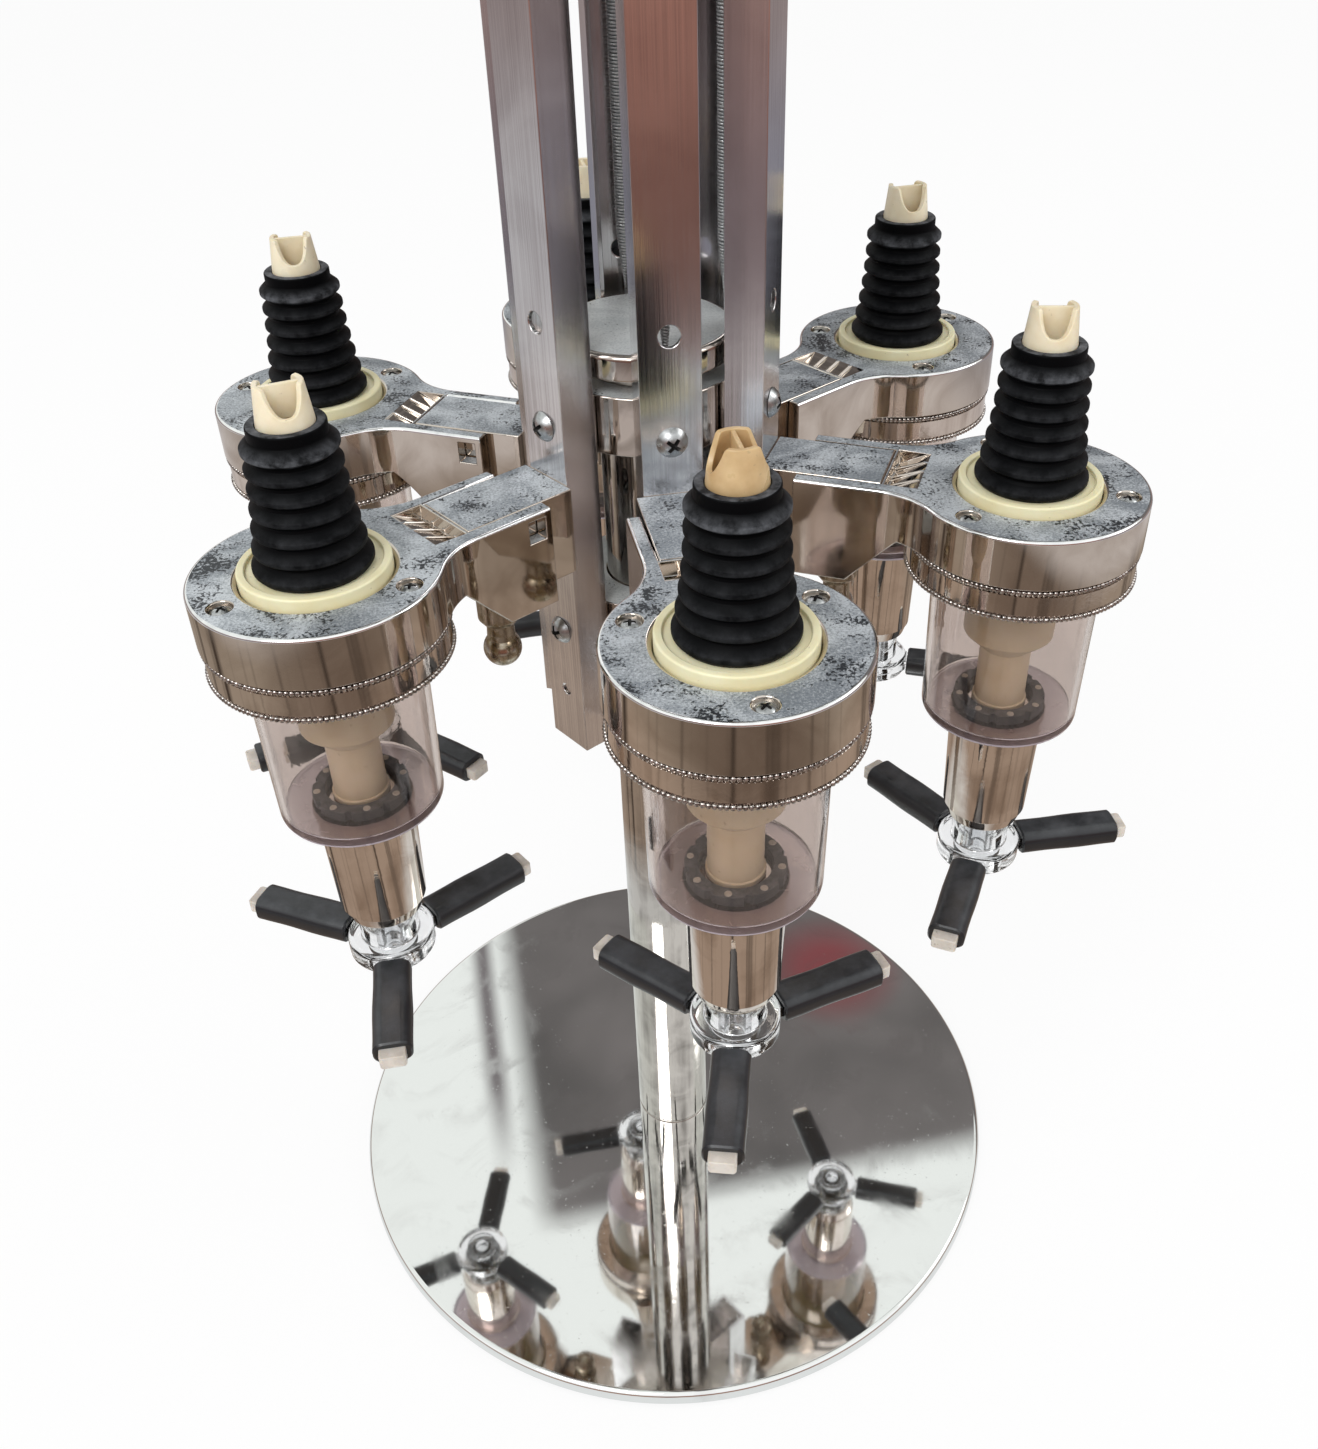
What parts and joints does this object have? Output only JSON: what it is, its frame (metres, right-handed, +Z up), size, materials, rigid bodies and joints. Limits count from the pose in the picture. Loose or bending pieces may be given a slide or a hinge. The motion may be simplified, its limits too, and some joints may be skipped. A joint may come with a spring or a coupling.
{
  "type": "rotary liquor dispenser",
  "caption": "Bar-top rotary spirit dispenser: chromed pedestal, turning rail cage, ribbed bottle stoppers, clear measuring cups and push-up three-bar levers.",
  "frame": {"origin": "middle of the base's underside, on the surface that the stand rests on", "axes": "+Z up along the pole; station 1 faces -Y, towards the picture's camera, and the stations count anticlockwise seen from above"},
  "size_m": [0.2682, 0.29, 0.7],
  "materials": {
    "chromed_steel": "polished chrome plate",
    "cast_iron": "rough",
    "black_rubber": "satin",
    "zinc_steel": "bright zinc plate",
    "cast_hub": "bare die casting",
    "rail_aluminium": "satin anodised",
    "black_plastic": "satin",
    "chromed_casting": "pitted chrome plate",
    "tarnished_brass": "worn nickel plate",
    "cream_plastic": "satin",
    "clear_plastic": "clear",
    "grey_seal": "satin",
    "spring_steel": "bright",
    "stem_plastic": "satin"
  },
  "bodies": {
    "stand": {"base_disc": "chromed_steel", "base_weight": "cast_iron", "base_pad": "black_rubber", "pole": "chromed_steel", "base_bolt": "zinc_steel", "pivot_plug": "zinc_steel"},
    "cage": {"upper_hub": "cast_hub", "lower_hub": "cast_hub", "hub_cap": "cast_hub", "rails": "rail_aluminium", "top_plate": "chromed_steel", "lift_knob": "black_plastic", "arm_1": "chromed_casting", "arm_2": "chromed_casting", "arm_3": "chromed_casting", "arm_4": "chromed_casting", "arm_5": "chromed_casting", "arm_6": "chromed_casting", "mounting_blocks": "chromed_casting", "rail_screws": "zinc_steel", "head_screws": "zinc_steel", "ball_knobs": "tarnished_brass", "chamber_heads": "cream_plastic", "knurled_rings": "chromed_steel", "cups": "clear_plastic", "stoppers": "black_rubber", "inlet_tips": "cream_plastic", "cup_seals": "grey_seal", "barrels": "chromed_steel", "return_springs": "spring_steel", "tension_spring_1": "spring_steel", "tension_spring_2": "spring_steel", "tension_spring_3": "spring_steel", "tension_spring_4": "spring_steel", "tension_spring_5": "spring_steel", "tension_spring_6": "spring_steel"},
    "valve_1": {"stem_1": "stem_plastic"},
    "lever_1": {"spider_1": "clear_plastic", "sleeves_1": "black_rubber"},
    "bottle_clamp_1": {"clamp_1": "black_plastic"},
    "valve_2": {"stem_2": "stem_plastic"},
    "lever_2": {"spider_2": "clear_plastic", "sleeves_2": "black_rubber"},
    "bottle_clamp_2": {"clamp_2": "black_plastic"},
    "valve_3": {"stem_3": "stem_plastic"},
    "lever_3": {"spider_3": "clear_plastic", "sleeves_3": "black_rubber"},
    "bottle_clamp_3": {"clamp_3": "black_plastic"},
    "valve_4": {"stem_4": "stem_plastic"},
    "lever_4": {"spider_4": "clear_plastic", "sleeves_4": "black_rubber"},
    "bottle_clamp_4": {"clamp_4": "black_plastic"},
    "valve_5": {"stem_5": "stem_plastic"},
    "lever_5": {"spider_5": "clear_plastic", "sleeves_5": "black_rubber"},
    "bottle_clamp_5": {"clamp_5": "black_plastic"},
    "valve_6": {"stem_6": "stem_plastic"},
    "lever_6": {"spider_6": "clear_plastic", "sleeves_6": "black_rubber"},
    "bottle_clamp_6": {"clamp_6": "black_plastic"}
  },
  "joints": [
    {"name": "cage_spin", "type": "hinge", "parent": "stand", "child": "cage", "pos_m": [0, 0, 0.302], "axis": [0, 0, 1], "continuous": true},
    {"name": "valve_lift_1", "type": "slide", "parent": "cage", "child": "valve_1", "axis": [0, 0, 1], "range_m": [0, 0.008], "stiffness_N_per_m": 200, "springref_m": -0.02, "deforming": ["return_springs"]},
    {"name": "lever_spin_1", "type": "hinge", "parent": "valve_1", "child": "lever_1", "pos_m": [0, -0.102, 0.168], "axis": [0, 0, 1], "continuous": true},
    {"name": "clamp_slide_1", "type": "slide", "parent": "cage", "child": "bottle_clamp_1", "axis": [0, 0, 1], "range_m": [0, 0.13], "stiffness_N_per_m": 60, "springref_m": -0.1, "deforming": ["tension_spring_1"]},
    {"name": "valve_lift_2", "type": "slide", "parent": "cage", "child": "valve_2", "axis": [0, 0, 1], "range_m": [0, 0.008], "stiffness_N_per_m": 200, "springref_m": -0.02, "deforming": ["return_springs"]},
    {"name": "lever_spin_2", "type": "hinge", "parent": "valve_2", "child": "lever_2", "pos_m": [0.08833, -0.051, 0.168], "axis": [0, 0, 1], "continuous": true},
    {"name": "clamp_slide_2", "type": "slide", "parent": "cage", "child": "bottle_clamp_2", "axis": [0, 0, 1], "range_m": [0, 0.13], "stiffness_N_per_m": 60, "springref_m": -0.1, "deforming": ["tension_spring_2"]},
    {"name": "valve_lift_3", "type": "slide", "parent": "cage", "child": "valve_3", "axis": [0, 0, 1], "range_m": [0, 0.008], "stiffness_N_per_m": 200, "springref_m": -0.02, "deforming": ["return_springs"]},
    {"name": "lever_spin_3", "type": "hinge", "parent": "valve_3", "child": "lever_3", "pos_m": [0.08833, 0.051, 0.168], "axis": [0, 0, 1], "continuous": true},
    {"name": "clamp_slide_3", "type": "slide", "parent": "cage", "child": "bottle_clamp_3", "axis": [0, 0, 1], "range_m": [0, 0.13], "stiffness_N_per_m": 60, "springref_m": -0.1, "deforming": ["tension_spring_3"]},
    {"name": "valve_lift_4", "type": "slide", "parent": "cage", "child": "valve_4", "axis": [0, 0, 1], "range_m": [0, 0.008], "stiffness_N_per_m": 200, "springref_m": -0.02, "deforming": ["return_springs"]},
    {"name": "lever_spin_4", "type": "hinge", "parent": "valve_4", "child": "lever_4", "pos_m": [0, 0.102, 0.168], "axis": [0, 0, 1], "continuous": true},
    {"name": "clamp_slide_4", "type": "slide", "parent": "cage", "child": "bottle_clamp_4", "axis": [0, 0, 1], "range_m": [0, 0.13], "stiffness_N_per_m": 60, "springref_m": -0.1, "deforming": ["tension_spring_4"]},
    {"name": "valve_lift_5", "type": "slide", "parent": "cage", "child": "valve_5", "axis": [0, 0, 1], "range_m": [0, 0.008], "stiffness_N_per_m": 200, "springref_m": -0.02, "deforming": ["return_springs"]},
    {"name": "lever_spin_5", "type": "hinge", "parent": "valve_5", "child": "lever_5", "pos_m": [-0.08833, 0.051, 0.168], "axis": [0, 0, 1], "continuous": true},
    {"name": "clamp_slide_5", "type": "slide", "parent": "cage", "child": "bottle_clamp_5", "axis": [0, 0, 1], "range_m": [0, 0.13], "stiffness_N_per_m": 60, "springref_m": -0.1, "deforming": ["tension_spring_5"]},
    {"name": "valve_lift_6", "type": "slide", "parent": "cage", "child": "valve_6", "axis": [0, 0, 1], "range_m": [0, 0.008], "stiffness_N_per_m": 200, "springref_m": -0.02, "deforming": ["return_springs"]},
    {"name": "lever_spin_6", "type": "hinge", "parent": "valve_6", "child": "lever_6", "pos_m": [-0.08833, -0.051, 0.168], "axis": [0, 0, 1], "continuous": true},
    {"name": "clamp_slide_6", "type": "slide", "parent": "cage", "child": "bottle_clamp_6", "axis": [0, 0, 1], "range_m": [0, 0.13], "stiffness_N_per_m": 60, "springref_m": -0.1, "deforming": ["tension_spring_6"]}
  ]
}
